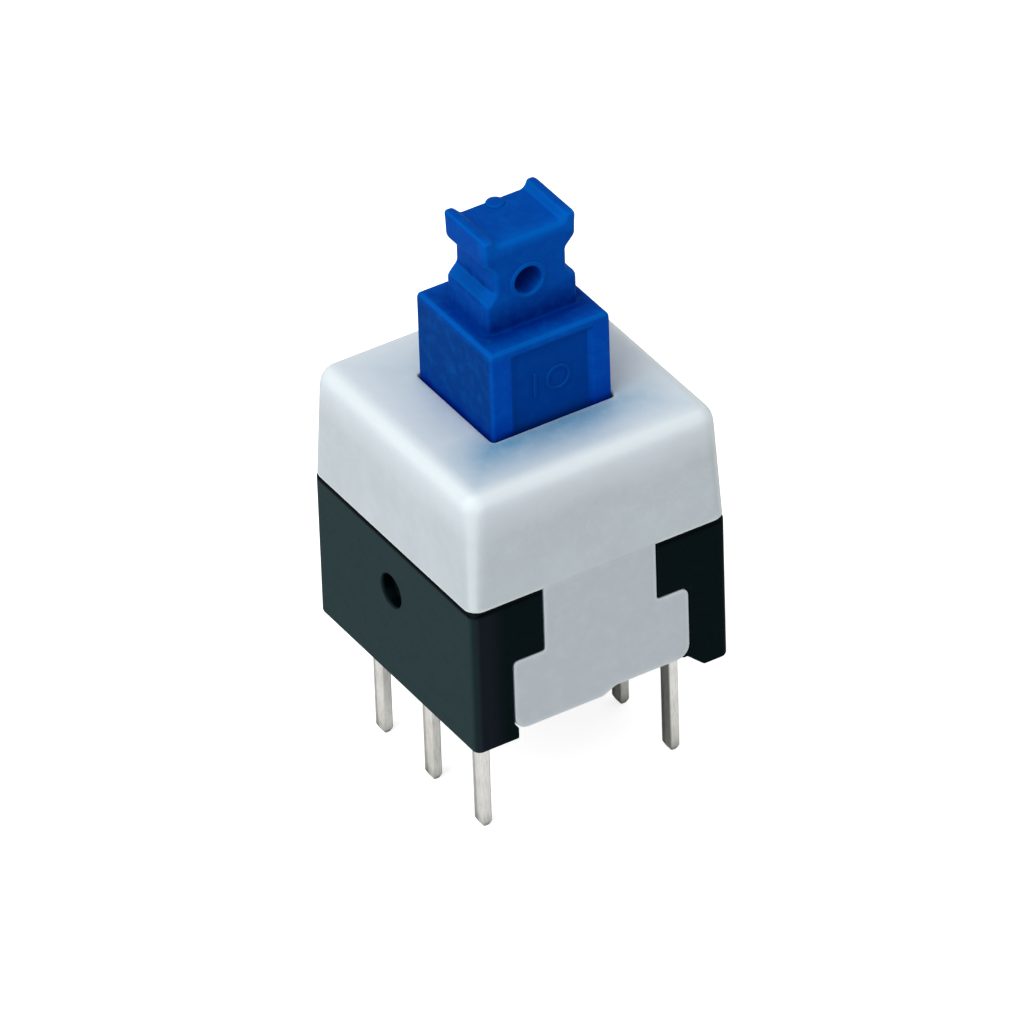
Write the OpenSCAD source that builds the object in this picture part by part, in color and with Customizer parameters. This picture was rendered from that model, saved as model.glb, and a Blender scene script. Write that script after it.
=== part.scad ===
// Latching push-button switch on six solder pins: a black base, a white clip-on cover and a
// blue square plunger with a waisted head. The plunger carries two sliding contacts over a
// coil spring, and a bent wire in a heart-shaped groove holds it down.
// Origin: centre of the pin pattern on the board surface. +Z is up, -Y is the tongue side.

/* [Body] */
// Width and depth of the cover
body_w = 8; // [7.9:0.1:9]
// Height of the joint between base and cover above the board
border_z = 4.57; // [4.4:0.05:5]
// Height of the cover's top above the board
cover_top_z = 8.1; // [8:0.1:9]
// How far the base stands back from the cover's edge
base_step = 0.03; // [0.02:0.01:0.12]
// How much narrower the cover is at its top, on each side
cover_draft = 0.1; // [0:0.02:0.2]
// Radius of the cover's top edges
top_edge_r = 0.54; // [0.3:0.02:0.6]
// Radius of the cover's upright edges
corner_r = 0.4; // [0.1:0.02:0.5]
// Radius of the base's upright edges
base_corner_r = 0.24; // [0.04:0.02:0.3]
// Thickness of the cover's skirt
skirt_t = 0.44; // [0.36:0.01:0.44]
// Thickness of the cover's roof
roof_t = 0.7; // [0.5:0.05:0.8]

/* [Tongues] */
// Thickness of the two tongues that clip the cover to the base
tongue_t = 0.5; // [0.4:0.05:0.6]
// Width of a tongue's neck
neck_w = 3.5; // [3:0.1:4]
// Width of a tongue below the base's hooks
tongue_w = 5.46; // [5:0.02:5.7]
// Height of the lower edge of the hooks at -X above the board
hook_z = 2.55; // [2.2:0.05:2.8]
// How much higher the hooks at +X sit
hook_rise = 0.2; // [0:0.05:0.3]
// Height of a tongue's lower edge above the board
tongue_z = 0.3; // [0.2:0.05:0.5]
// Rise of the lower edge on its +X half
tongue_rise = 0.2; // [0:0.05:0.3]
// Radius of a tongue's lower corners
tongue_r = 0.4; // [0.2:0.05:0.6]
// Gap around a tongue
tongue_gap = 0.03; // [0.02:0.01:0.06]

/* [Base] */
// Height of the foot rails, the air gap under the floor
rail_h = 0.5; // [0.3:0.05:0.6]
// Width of the -X foot rail
rail_left_w = 1.34; // [1.2:0.02:1.5]
// Width of the flat of the +X foot rail
rail_right_w = 0.76; // [0.7:0.02:1.1]
// Width of the slope beside the +X foot rail
rail_slope_w = 0.55; // [0.3:0.05:0.7]
// Height of the floor's upper face above the board
floor_z = 1.6; // [1.5:0.05:1.6]
// Diameter of the blind hole in the -X wall
side_hole_d = 1; // [0.6:0.1:1.2]
// Height of that hole above the board
side_hole_z = 2.92; // [2.4:0.02:3.4]
// Place of that hole along Y
side_hole_y = 0.15; // [-0.5:0.05:0.5]
// Depth of that hole
side_hole_depth = 0.42; // [0.2:0.02:0.45]
// Height of the side walls inside the cover above the joint
upstand_h = 1.6; // [1:0.1:1.8]
// Thickness of those walls, between the cover's skirt and the contact blades
upstand_t = 0.4; // [0.16:0.02:0.5]

/* [Solder pins] */
// Distance between the pins of a row
pin_pitch = 2.5; // [2.3:0.05:2.54]
// Length of a pin below the board surface
pin_l = 3.55; // [3:0.05:4]
// Thickness of the terminals' sheet
pin_t = 0.3; // [0.25:0.01:0.3]
// Width of a pin
pin_w = 0.46; // [0.4:0.02:0.6]
// Length of a pin's tapered tip
pin_taper = 0.16; // [0.1:0.02:0.5]
// Width of the middle contact blades
blade_w = 0.9; // [0.7:0.05:1]

/* [Plunger] */
// Width and depth of the plunger's block
block_w = 3.7; // [3.4:0.02:3.8]
// Gap between the plunger and the cover's hole, on each side
block_gap = 0.05; // [0.04:0.01:0.1]
// Height of the block's shoulder above the board
shoulder_z = 10.8; // [10.4:0.1:11.4]
// Radius of the block's upright edges
block_r = 0.2; // [0.08:0.02:0.3]
// Travel of the plunger
travel = 2.5; // [2:0.1:2.5]
// Width of the hollow panel on the block's -Y side
panel_w = 2.4; // [2:0.1:2.6]
// Place of the panel's middle along X
panel_x = 0.05; // [-0.2:0.05:0.2]
// Depth of the panel
panel_depth = 0.1; // [0.05:0.01:0.15]
// Height of the raised ring and bar on the panel
mark_h = 0.8; // [0.5:0.05:1]

/* [Plunger head] */
// Width of the head at its foot and its flange
head_w = 2.84; // [2.5:0.02:2.9]
// Depth of the head along Y
head_d = 2.04; // [1.8:0.02:2.4]
// Width of the head at its waist
waist_w = 2.24; // [1.8:0.02:2.3]
// Height of the head's foot
head_foot_h = 0.88; // [0.7:0.02:1]
// Height of the waist between foot and flange
waist_h = 1.24; // [1.1:0.02:1.4]
// Height of the flange below its channel
flange_h = 0.57; // [0.5:0.01:0.8]
// Length of the slopes above and below the waist
waist_slope_h = 0.32; // [0.2:0.02:0.5]
// Height of the two lips beside the channel on the head's top
lip_h = 0.2; // [0.1:0.02:0.25]
// Width of those lips at their tops
lip_w = 0.26; // [0.2:0.02:0.4]
// Slope of a lip's inner side, measured along X
lip_slope = 0.2; // [0:0.05:0.3]
// Diameter of the blind hole in the head's -Y side
cap_hole_d = 0.8; // [0.6:0.02:1]
// Place of that hole along X
cap_hole_x = -0.12; // [-0.3:0.02:0.3]
// Depth of that hole
cap_hole_depth = 0.8; // [0.4:0.1:1.2]
// Width of the chamfer round that hole's mouth
cap_hole_rim = 0.08; // [0.04:0.01:0.12]

/* [Carriage] */
// How far the carriage stands out from the block towards each sliding contact
carriage_side = 0.2; // [0.1:0.05:0.25]
// How far the carriage stands out from the block at the front and at the back
carriage_lip = 0.45; // [0.35:0.05:0.5]
// Room left under the carriage at full travel
bottom_room = 0.05; // [0.02:0.01:0.1]
// Room between the stop flange and the contact blades
stop_gap = 0.3; // [0.1:0.05:0.5]
// Thickness of the stop flange
stop_h = 0.8; // [0.6:0.05:0.85]

/* [Return spring] */
// Outer diameter of the coil
spring_d = 2.25; // [2.1:0.05:2.3]
// Diameter of the spring's wire
spring_wire = 0.25; // [0.2:0.01:0.28]
// Turns between the closed end turns
spring_turns = 6; // [5:1:7]
// Depth of the spring's pocket in the plunger
pocket_depth = 4.05; // [3.6:0.05:4.4]
// Room around the coil in its pocket
spring_room = 0.15; // [0.1:0.01:0.18]

/* [Sliding contacts] */
// Thickness of the contacts' sheet
contact_t = 0.15; // [0.1:0.01:0.16]
// How far a sliding contact stays inside the carriage's lower and upper ends
contact_inset = 0.325; // [0.2:0.025:0.4]
// Width of its spring fingers
finger_w = 0.5; // [0.4:0.05:0.6]
// Width of the sheet left around the windows behind the fingers
contact_rim = 0.12; // [0.08:0.02:0.16]
// Gap between a finger's crown and the blades
contact_gap = 0.03; // [0.02:0.01:0.05]

/* [Latch] */
// Diameter of the latch wire
wire_d = 0.35; // [0.3:0.01:0.36]
// Height of the wire's pivot above the board
pivot_z = 1.08; // [1.05:0.01:1.1]
// Height of the wire's upper end above the carriage's lower face, at rest
tip_inset = 0.25; // [0.2:0.01:0.3]
// Room between the wire's shank and the carriage
wire_clear = 0.28; // [0.2:0.02:0.3]
// Length of the wire's lower leg
leg_l = 1; // [0.8:0.05:1.1]
// Sideways swing of the upper end over the full travel
swing_w = 0.6; // [0.5:0.05:0.65]
// Depth of the heart-shaped groove
groove_depth = 0.5; // [0.4:0.02:0.5]
// Room around the wire's end in the groove
groove_gap = 0.12; // [0.1:0.01:0.14]

/* [Hidden] */
$fn = 48;

eps = 0.01;       // a cut runs this far past the face that it opens
fit_gap = 0.02;   // room around a pressed-in terminal and at the spring's ends
slide_gap = 0.04; // room between walls that slip into each other
run_gap = 0.05;   // room beside a piece that swings or slides

// Body
half = body_w / 2;
base_half = half - base_step;
skirt_inner = half - skirt_t;
roof_z = cover_top_z - roof_t;
upstand_outer = skirt_inner - slide_gap;
wall_face = upstand_outer - upstand_t;
front_face = half - tongue_t - tongue_gap;
row_spacing = 2 * wall_face - pin_t;

// Carriage and contacts
carriage_w = block_w + 2 * carriage_side;
carriage_d = block_w + 2 * carriage_lip;
carriage_z = floor_z + travel + bottom_room;
carriage_top = roof_z - stop_h;
contact_h = carriage_top - carriage_z - 2 * contact_inset;
contact_z = (carriage_z + carriage_top) / 2;
pad_top = contact_z + contact_h / 2;
pad_low = contact_z - contact_h / 2;
plate_face = carriage_w / 2;
blade_face = wall_face - pin_t;
stop_w = 2 * (blade_face - stop_gap);
finger_y = pin_pitch - pin_w / 2 - finger_w / 2 - 2 * run_gap;
finger_reach = blade_face - contact_gap - plate_face;
finger_rise = (contact_h - contact_t) / 2;
window_w = finger_w + 2 * run_gap;
window_h = contact_h - 4 * contact_t;
plate_w = 2 * finger_y + window_w + 2 * contact_rim;
peg_d = 0.4;
peg_y = finger_y / 2;
peg_head = 0.12;

// Plunger
hole_w = block_w + 2 * block_gap;
waist_z = shoulder_z + head_foot_h;
flange_z = waist_z + waist_h;
channel_z = flange_z + flange_h;
head_top = channel_z + lip_h;
cap_hole_z = waist_z + waist_h / 3;
panel_top = shoulder_z - panel_depth;
mark_z = (cover_top_z + panel_top) / 2;
mark_line = 0.12; // width of the mark's raised lines
mark_rise = panel_depth / 2;
gate_d = 0.55;    // diameter of the low disc in the channel
gate_h = 0.07;
gate_y = (head_d - gate_d) / 2;

// Return spring
coil_r = (spring_d - spring_wire) / 2;
pocket_r = spring_d / 2 + spring_room;
pocket_top = carriage_z + pocket_depth;
spring_low = floor_z + spring_wire / 2 + fit_gap;
spring_high = pocket_top - spring_wire / 2 - fit_gap;
turn_gap = 0.03;  // room between the closed turns
end_pitch = spring_wire + turn_gap;
turn_steps = 14;  // rings of the swept wire in one turn, about
wire_sides = 8;
boss_r = coil_r - spring_wire / 2 - 2 * slide_gap;
boss_h = 0.9;

// Latch wire and its heart-shaped groove
bend_r = wire_d;
wire_y = -carriage_d / 2 - wire_clear - wire_d / 2;
leg_end = wire_y + leg_l;
tip_z = carriage_z + tip_inset;
groove_y = -carriage_d / 2 + groove_depth;
latch_arm = tip_z - pivot_z;
latch_angle = asin(swing_w / latch_arm);
lane_w = wire_d + 2 * groove_gap;
lane_top = pivot_z + latch_arm * cos(latch_angle) + travel;
heart_w = 0.72;
heart_notch = 0.25;
heart_low = tip_z + 1.3 * lane_w;
heart_high = lane_top - lane_w;
keeper_w = 1.8;   // rib behind the front tongue that keeps the wire in its groove
keeper_h = 1;

// Rectangle with round corners
module round_rect(w, d, r) {
    square([w - 2 * r, d], center = true);
    square([w, d - 2 * r], center = true);
    for (x = [-1, 1], y = [-1, 1])
        translate([x * (w / 2 - r), y * (d / 2 - r)]) circle(r);
}

// Upright bar with round upright edges
module round_bar(w, d, z0, z1, r) {
    translate([0, 0, z0]) linear_extrude(z1 - z0) round_rect(w, d, r);
}

// Box between two heights, centred on X and Y
module slab(w, d, z0, z1) {
    translate([-w / 2, -d / 2, z0]) cube([w, d, z1 - z0]);
}

// Lays a profile drawn in X and Z along Y, centred
module along_y(length) {
    rotate([90, 0, 0]) translate([0, 0, -length / 2]) linear_extrude(length) children();
}

// Lays a profile drawn in Y and Z along X, centred
module along_x(length) {
    rotate([90, 0, 90]) translate([0, 0, -length / 2]) linear_extrude(length) children();
}

// Outline of a tongue in X and Z, grown by a gap on every side
module tongue_outline(gap) {
    neck = neck_w / 2 + gap;
    reach = tongue_w / 2 + gap;
    low = tongue_z - gap;
    high = low + tongue_rise;
    left_hook = hook_z + gap;
    right_hook = left_hook + hook_rise;
    r = tongue_r;
    polygon([
        [-neck, border_z + gap], [-neck, left_hook], [-reach, left_hook],
        [-reach, low + r], [r - reach, low + r], [r - reach, low],
        [0, low], [2 * tongue_rise, high],
        [reach - r, high], [reach - r, high + r], [reach, high + r],
        [reach, right_hook], [neck, right_hook], [neck, border_z + gap],
    ]);
    translate([r - reach, low + r]) circle(r);
    translate([reach - r, high + r]) circle(r);
}

// Both tongues, or the slots that they sit in
module tongues(depth, gap) {
    for (side = [-1, 1])
        translate([0, side * (half - depth / 2), 0]) along_y(depth) tongue_outline(gap);
}

// Base: floor on two foot rails, side walls, and four hooks that hold the cover's tongues
module base() {
    color([0.09, 0.11, 0.12]) {
        difference() {
            union() {
                intersection() {
                    round_bar(2 * base_half, 2 * base_half, 0, border_z, base_corner_r);
                    along_y(body_w) base_profile();
                }
                for (side = [-1, 1]) upstand(side);
            }
            slab(2 * wall_face, 2 * front_face, floor_z, border_z + upstand_h + eps);
            tongues(tongue_t + tongue_gap, tongue_gap);
            for (side = [-1, 1], i = [-1:1]) pin_slot(side, i);
            side_hole();
            wire_seat();
        }
        translate([0, 0, floor_z]) cylinder(r = boss_r, h = boss_h);
    }
}

// Section of the base in X and Z, with the air gap between the foot rails
module base_profile() {
    left = rail_left_w - base_half;
    right = base_half - rail_right_w;
    polygon([
        [-half, 0], [left, 0], [left, rail_h], [right - rail_slope_w, rail_h], [right, 0],
        [half, 0], [half, border_z], [-half, border_z],
    ]);
}

// Wall that stands inside the cover's skirt behind the contact blades
module upstand(side) {
    t = upstand_outer - wall_face;
    translate([side * (wall_face + t / 2), 0, 0])
        slab(t, 2 * front_face, floor_z, border_z + upstand_h);
}

// Slot through the floor for one terminal
module pin_slot(side, i) {
    translate([side * row_spacing / 2, i * pin_pitch, 0])
        slab(pin_t + 2 * fit_gap, pin_w + 2 * fit_gap, -eps, floor_z + eps);
}

// Blind hole in the -X wall
module side_hole() {
    translate([-base_half - eps, side_hole_y, side_hole_z]) rotate([0, 90, 0])
        cylinder(d = side_hole_d, h = side_hole_depth + eps);
}

// Trough in the floor for the latch wire, and the bearing of its lower leg
module wire_seat() {
    trough = wire_d + 6 * run_gap;
    back = wire_y + bend_r;
    low = pivot_z - wire_d / 2 - run_gap;
    translate([-trough / 2, -front_face - eps, low])
        cube([trough, back + front_face + eps, floor_z - low + eps]);
    translate([0, back - eps, pivot_z]) rotate([-90, 0, 0])
        cylinder(d = wire_d + run_gap, h = leg_end + run_gap - back + eps);
}

// Cover: square cap with a leaning skirt, two clip tongues and the hole for the plunger
module cover() {
    color([0.88, 0.9, 0.93]) {
        difference() {
            intersection() {
                round_bar(body_w, body_w, border_z, cover_top_z, corner_r);
                along_y(body_w) cover_profile();
                along_x(body_w) cover_profile();
            }
            slab(2 * skirt_inner, 2 * skirt_inner, border_z - eps, roof_z);
            slab(hole_w, hole_w, roof_z - eps, cover_top_z + eps);
        }
        tongues(tongue_t, 0);
        keeper();
    }
}

// Side profile of the cover: leaning sides and round upper edges
module cover_profile() {
    rise = cover_top_z - border_z;
    slope = norm([rise, cover_draft]);
    corner_z = cover_top_z - top_edge_r;
    corner_x = half - (top_edge_r * slope + (corner_z - border_z) * cover_draft) / rise;
    touch_x = corner_x + top_edge_r * rise / slope;
    touch_z = corner_z + top_edge_r * cover_draft / slope;
    polygon([
        [-half, border_z], [half, border_z], [touch_x, touch_z], [corner_x, corner_z],
        [corner_x, cover_top_z], [-corner_x, cover_top_z], [-corner_x, corner_z],
        [-touch_x, touch_z],
    ]);
    for (side = [-1, 1])
        translate([side * corner_x, corner_z]) circle(top_edge_r);
}

// Rib on the front tongue that runs close to the latch wire
module keeper() {
    back = wire_y - wire_d / 2 - run_gap;
    front = tongue_t - half;
    translate([-keeper_w / 2, front - eps, (pivot_z + tip_z - keeper_h) / 2])
        cube([keeper_w, back - front + eps, keeper_h]);
}

// Plunger: waisted head, square block, and a carriage with a stop flange inside the body
module plunger() {
    color([0, 0.3, 0.62]) {
        difference() {
            union() {
                round_bar(block_w, block_w, carriage_z, shoulder_z, block_r);
                slab(carriage_w, carriage_d, carriage_z, carriage_top);
                slab(stop_w, carriage_d, carriage_top, roof_z);
                along_y(head_d) head_profile();
            }
            translate([0, 0, carriage_z - eps]) cylinder(r = pocket_r, h = pocket_depth + eps);
            translate([panel_x, panel_depth / 2 - block_w / 2, 0])
                slab(panel_w, panel_depth, roof_z, panel_top);
            translate([cap_hole_x, -head_d / 2, cap_hole_z]) rotate([-90, 0, 0])
                cap_hole();
            heart_groove();
        }
        translate([panel_x, panel_depth - block_w / 2, mark_z]) mark();
        translate([0, gate_y, channel_z - eps]) cylinder(d = gate_d, h = gate_h + eps);
        for (side = [-1, 1], y = [-1, 1]) peg(side, y * peg_y);
    }
}

// Profile of the head in X and Z: foot, waist, flange, and a channel between two lips
module head_profile() {
    w = head_w / 2;
    waist = waist_w / 2;
    side = [
        [w, shoulder_z - eps], [w, waist_z], [waist, waist_z + waist_slope_h],
        [waist, flange_z - waist_slope_h], [w, flange_z], [w, head_top],
        [w - lip_w, head_top], [w - lip_w - lip_slope, channel_z],
    ];
    n = len(side);
    polygon(concat(side, [for (i = [1:n]) [-side[n - i][0], side[n - i][1]]]));
}

// Blind hole with a chamfered mouth, drawn down its own axis
module cap_hole() {
    r = cap_hole_d / 2;
    translate([0, 0, -eps]) cylinder(r = r, h = cap_hole_depth + eps);
    translate([0, 0, -eps]) cylinder(r1 = r + cap_hole_rim + eps, r2 = r, h = cap_hole_rim + eps);
}

// Plain raised mark on the panel: a bar and a ring, for on and off
module mark() {
    r = mark_h / 2;
    rotate([90, 0, 0]) linear_extrude(mark_rise) {
        translate([-r - mark_line, 0]) square([mark_line, mark_h], center = true);
        translate([r / 2, 0]) difference() {
            circle(r);
            circle(r - mark_line);
        }
    }
}

// Peg that locates a sliding contact on the carriage
module peg(side, y) {
    translate([side * (plate_face - eps), y, contact_z]) rotate([0, side * 90, 0])
        cylinder(d = peg_d, h = contact_t + peg_head + eps);
}

// Place of the lane's middle line along X at a height
function lane_x(z) = swing_w * (z - tip_z) / (lane_top - tip_z);

// Groove in the carriage's -Y side: the wire goes up one lane and comes back down the other
module heart_groove() {
    room = lane_w / 2;
    heart_right = lane_x(heart_high) - room;
    return_x = heart_right - heart_w - lane_w;
    top = lane_top + room;
    translate([0, (groove_y - carriage_d / 2 - eps) / 2, 0])
        along_y(groove_y + carriage_d / 2 + eps) difference() {
            polygon([
                [-room, carriage_z - eps], [room, carriage_z - eps], [room, tip_z],
                [swing_w + room, lane_top], [swing_w + room, top], [return_x, top],
                [return_x, heart_high - room], [-room, tip_z],
            ]);
            polygon([
                [lane_x(heart_low) - room, heart_low], [heart_right, heart_high],
                [heart_right - heart_w / 2, heart_high - heart_notch],
                [heart_right - heart_w, heart_high],
            ]);
        }
}

// Coil that lifts the plunger, with closed end turns
module return_spring() {
    turns = spring_turns + 2;
    rings = round(turns * turn_steps);
    color([0.75, 0.76, 0.78]) polyhedron(
        points = [
            for (k = [0:rings], j = [0:wire_sides - 1])
                let (t = turns * k / rings)
                    coil_point(360 * t, coil_z(t, turns), 360 * j / wire_sides)
        ],
        faces = concat(
            [[for (j = [0:wire_sides - 1]) j]],
            [for (k = [0:rings - 1], j = [0:wire_sides - 1], f = ring_faces(k, j)) f],
            [[for (j = [1:wire_sides]) (rings + 1) * wire_sides - j]]
        ),
        convexity = 10
    );
}

// Height of the wire's middle after a number of turns
function coil_z(t, turns) =
    t < 1 ? spring_low + end_pitch * t
    : t > turns - 1 ? spring_high - end_pitch * (turns - t)
    : spring_low + end_pitch
        + (spring_high - spring_low - 2 * end_pitch) * (t - 1) / (turns - 2);

// Point of the wire's skin: a is the turn of the coil, b the turn around the wire
function coil_point(a, z, b) =
    let (r = coil_r + spring_wire / 2 * cos(b))
    [r * cos(a), r * sin(a), z + spring_wire / 2 * sin(b)];

// Two triangles between ring k and the next, at side j
function ring_faces(k, j) =
    let (a = k * wire_sides + j, b = k * wire_sides + (j + 1) % wire_sides)
    [[a, a + wire_sides, b + wire_sides], [a, b + wire_sides, b]];

// Bent wire: a lower leg in the base, an upright shank, and an upper leg in the heart groove
module latch_wire() {
    r = wire_d / 2;
    leg = wire_y + bend_r;
    color([0.8, 0.81, 0.83]) {
        translate([0, wire_y, pivot_z + bend_r]) cylinder(r = r, h = latch_arm - 2 * bend_r);
        wire_bend(pivot_z + bend_r, 0);
        wire_bend(tip_z - bend_r, 1);
        translate([0, leg, pivot_z]) rotate([-90, 0, 0]) cylinder(r = r, h = leg_end - leg);
        translate([0, leg, tip_z]) rotate([-90, 0, 0])
            cylinder(r = r, h = groove_y - 2 * run_gap - leg);
    }
}

// Quarter bend at the lower or the upper end of the shank
module wire_bend(z, upper) {
    translate([0, wire_y + bend_r, z]) mirror([0, 0, 1 - upper]) rotate([0, -90, 0])
        rotate_extrude(angle = -90) translate([bend_r, 0]) circle(wire_d / 2);
}

// Sprung sheet that bridges the middle blade and one pad: three bowed fingers before windows
module sliding_contact(side) {
    color([0.86, 0.74, 0.42]) mirror([side < 0 ? 1 : 0, 0, 0]) {
        difference() {
            translate([plate_face, -plate_w / 2, pad_low]) cube([contact_t, plate_w, contact_h]);
            for (i = [-1:1])
                translate([plate_face - eps, i * finger_y - window_w / 2, contact_z - window_h / 2])
                    cube([contact_t + 2 * eps, window_w, window_h]);
            for (y = [-1, 1])
                translate([plate_face - eps, y * peg_y, contact_z]) rotate([0, 90, 0])
                    cylinder(d = peg_d + 2 * fit_gap, h = contact_t + 2 * eps);
        }
        for (i = [-1:1])
            translate([0, i * finger_y, 0]) along_y(finger_w) finger_profile();
    }
}

// Section of a finger in X and Z: half an oval that springs from the sheet
module finger_profile() {
    function oval(reach, rise, a) = [plate_face + reach * cos(a), contact_z + rise * sin(a)];
    polygon(concat(
        [for (a = [-90:15:90]) oval(finger_reach, finger_rise, a)],
        [for (a = [90:-15:-90]) oval(finger_reach - contact_t, finger_rise - contact_t, a)]
    ));
}

// Terminal: solder pin below, contact blade above. i is -1 at the front and 1 at the back
module terminal(side, i) {
    reach = pin_pitch + pin_w / 2;
    inner = finger_y - finger_w / 2 - 2 * run_gap;
    color([0.8, 0.79, 0.75]) translate([side * row_spacing / 2, 0, 0]) {
        intersection() {
            along_x(pin_t) translate([i * pin_pitch, 0]) pin_profile(pin_w, 0.6 * pin_w);
            translate([0, i * pin_pitch, 0]) along_y(pin_w) pin_profile(pin_t, pin_t / 2);
        }
        along_x(pin_t) {
            if (i == 0)
                translate([-blade_w / 2, floor_z]) square([blade_w, pad_top - floor_z]);
            if (i < 0) {
                translate([-reach, floor_z]) square([pin_w, pad_top - floor_z]);
                translate([-reach, pad_low]) square([reach - inner, contact_h]);
            }
            if (i > 0)
                translate([inner, floor_z])
                    square([reach - inner, pad_top - travel - floor_z]);
        }
    }
}

// Outline of a pin of a given width that narrows to its tip
module pin_profile(w, tip_w) {
    polygon([
        [-w / 2, floor_z], [-w / 2, pin_taper - pin_l], [-tip_w / 2, -pin_l],
        [tip_w / 2, -pin_l], [w / 2, pin_taper - pin_l], [w / 2, floor_z],
    ]);
}

base();
cover();
plunger();
return_spring();
latch_wire();
sliding_contact(-1);  // sliding_contact_left
sliding_contact(1);  // sliding_contact_right
terminal(-1, -1);  // terminal_left_front
terminal(-1, 0);  // terminal_left_middle
terminal(-1, 1);  // terminal_left_back
terminal(1, -1);  // terminal_right_front
terminal(1, 0);  // terminal_right_middle
terminal(1, 1);  // terminal_right_back
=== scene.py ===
"""Square latching push-button switch, dressed for its portrait.

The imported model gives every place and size. Each visible moulding and pin is built again here with
the soft edges that moulding and stamping leave, and rides on the body of the node it stands for.
Lengths in this script are millimetres until a mesh is made, which is in metres.
"""

import math

import bmesh
import bpy
from mathutils import Matrix, Vector


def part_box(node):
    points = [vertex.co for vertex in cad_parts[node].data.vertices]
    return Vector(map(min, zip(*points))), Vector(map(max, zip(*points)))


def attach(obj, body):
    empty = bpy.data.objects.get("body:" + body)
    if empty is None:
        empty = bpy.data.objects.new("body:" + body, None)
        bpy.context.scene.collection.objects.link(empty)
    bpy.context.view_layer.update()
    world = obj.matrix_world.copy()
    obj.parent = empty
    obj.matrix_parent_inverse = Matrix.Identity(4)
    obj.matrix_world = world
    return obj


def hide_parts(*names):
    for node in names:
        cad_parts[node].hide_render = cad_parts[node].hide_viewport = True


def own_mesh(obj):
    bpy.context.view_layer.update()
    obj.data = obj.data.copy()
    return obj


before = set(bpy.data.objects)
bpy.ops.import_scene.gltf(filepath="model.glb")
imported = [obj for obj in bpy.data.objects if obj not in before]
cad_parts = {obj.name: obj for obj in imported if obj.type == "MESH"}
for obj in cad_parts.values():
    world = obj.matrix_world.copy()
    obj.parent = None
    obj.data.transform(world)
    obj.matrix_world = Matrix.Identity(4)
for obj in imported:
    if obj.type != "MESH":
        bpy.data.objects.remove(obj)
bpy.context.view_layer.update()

MM = 0.001


def node_box(name):
    """Lowest and highest corner of a node, in millimetres."""
    low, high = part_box(name)
    return low / MM, high / MM


# ---- sizes of the moulded body
cover_top = node_box("cover")[1]

HALF = cover_top.x                  # half the cover's width at its lower edge
BASE_HALF = -node_box("base")[0].x  # half the base's width
TOP_Z = cover_top.z                 # the cover's top
SEAM_Z = 4.57                       # joint between cover and base
DRAFT = 0.1                         # lean of the cover's skirt over its height
SKIRT_T = 0.44
ROOF_T = 0.7
SKIRT_INNER = HALF - SKIRT_T
ROOF_Z = TOP_Z - ROOF_T
HOLE_HALF = 1.9                     # half the square hole for the plunger
FRONT_FACE = 3.47                   # face of the base behind a tongue
WALL_FACE = 3.12                    # inner face of the base's side walls
WALL_T = 0.4                        # thickness of those walls inside the cover
FLOOR_Z = 1.6
PIN_PITCH = 2.5
PIN_T = 0.3
PIN_W = 0.46
ROW_X = 2.97                        # middle of a row of pins
TRAVEL = 2.5
PIVOT_Z = 1.08                      # height of the latch wire's pivot
CUT = 0.1                           # how far a cut runs past the face that it opens

# ---- mesh tools


def circle(steps):
    """Angles of one turn, in equal steps."""
    return [2 * math.pi * k / steps for k in range(steps)]


def quarter(steps):
    """Angles of a quarter turn, with both its ends."""
    return [math.pi / 2 * k / steps for k in range(steps + 1)]


def clamped(value):
    """The value, held between 0 and 1."""
    return min(max(value, 0), 1)


def rounded(corners, steps=5):
    """Closed outline from corners (x, y, radius), with an arc at each corner that has a radius."""
    outline = []
    for i, (x, y, radius) in enumerate(corners):
        corner = Vector((x, y))
        if radius <= 0:
            outline.append(corner)
            continue
        before = (Vector(corners[i - 1][:2]) - corner).normalized()
        after = (Vector(corners[(i + 1) % len(corners)][:2]) - corner).normalized()
        half_angle = before.angle(after) / 2
        reach = radius / math.tan(half_angle)
        centre = corner + (before + after).normalized() * radius / math.sin(half_angle)
        arm = corner + before * reach - centre
        sweep = arm.angle_signed(corner + after * reach - centre)
        for k in range(steps + 1):
            turned = arm.copy()
            turned.rotate(Matrix.Rotation(-sweep * k / steps, 2))
            outline.append(centre + turned)
    return outline


def inset(outline, depth, share=None):
    """An anticlockwise outline moved inwards by a depth, or by a share of it at each point."""
    moved = []
    for i, point in enumerate(outline):
        into = (point - outline[i - 1]).normalized()
        out = (outline[(i + 1) % len(outline)] - point).normalized()
        side_in, side_out = Vector((-into.y, into.x)), Vector((-out.y, out.x))
        step = depth * (share(point) if share else 1)
        moved.append(point + (side_in + side_out) * step / (1 + side_in.dot(side_out)))
    return moved


def anticlockwise(outline):
    """The outline, turned round if it runs clockwise."""
    area = sum(p.x * q.y - q.x * p.y for p, q in zip(outline, outline[1:] + outline[:1]))
    return outline if area > 0 else outline[::-1]


def loft(mesh, rings, closed=False):
    """Skins rings of equal length. A closed loft joins its two ends; an open one gets two caps."""
    rows = [[mesh.verts.new(Vector(p) * MM) for p in ring] for ring in rings]
    for a, b in zip(rows, rows[1:] + (rows[:1] if closed else [])):
        for i in range(len(a)):
            j = (i + 1) % len(a)
            mesh.faces.new((a[i], a[j], b[j], b[i]))
    if not closed:
        mesh.faces.new(rows[0][::-1])
        mesh.faces.new(rows[-1])


def placed(outline, axis, height):
    """3-D ring of an outline that lies across an axis: (x, y) for Z, (x, z) for Y, (y, z) for X."""
    if axis == "Z":
        return [(p.x, p.y, height) for p in outline]
    if axis == "Y":
        return [(p.x, height, p.y) for p in outline]
    return [(height, p.x, p.y) for p in outline]


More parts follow.
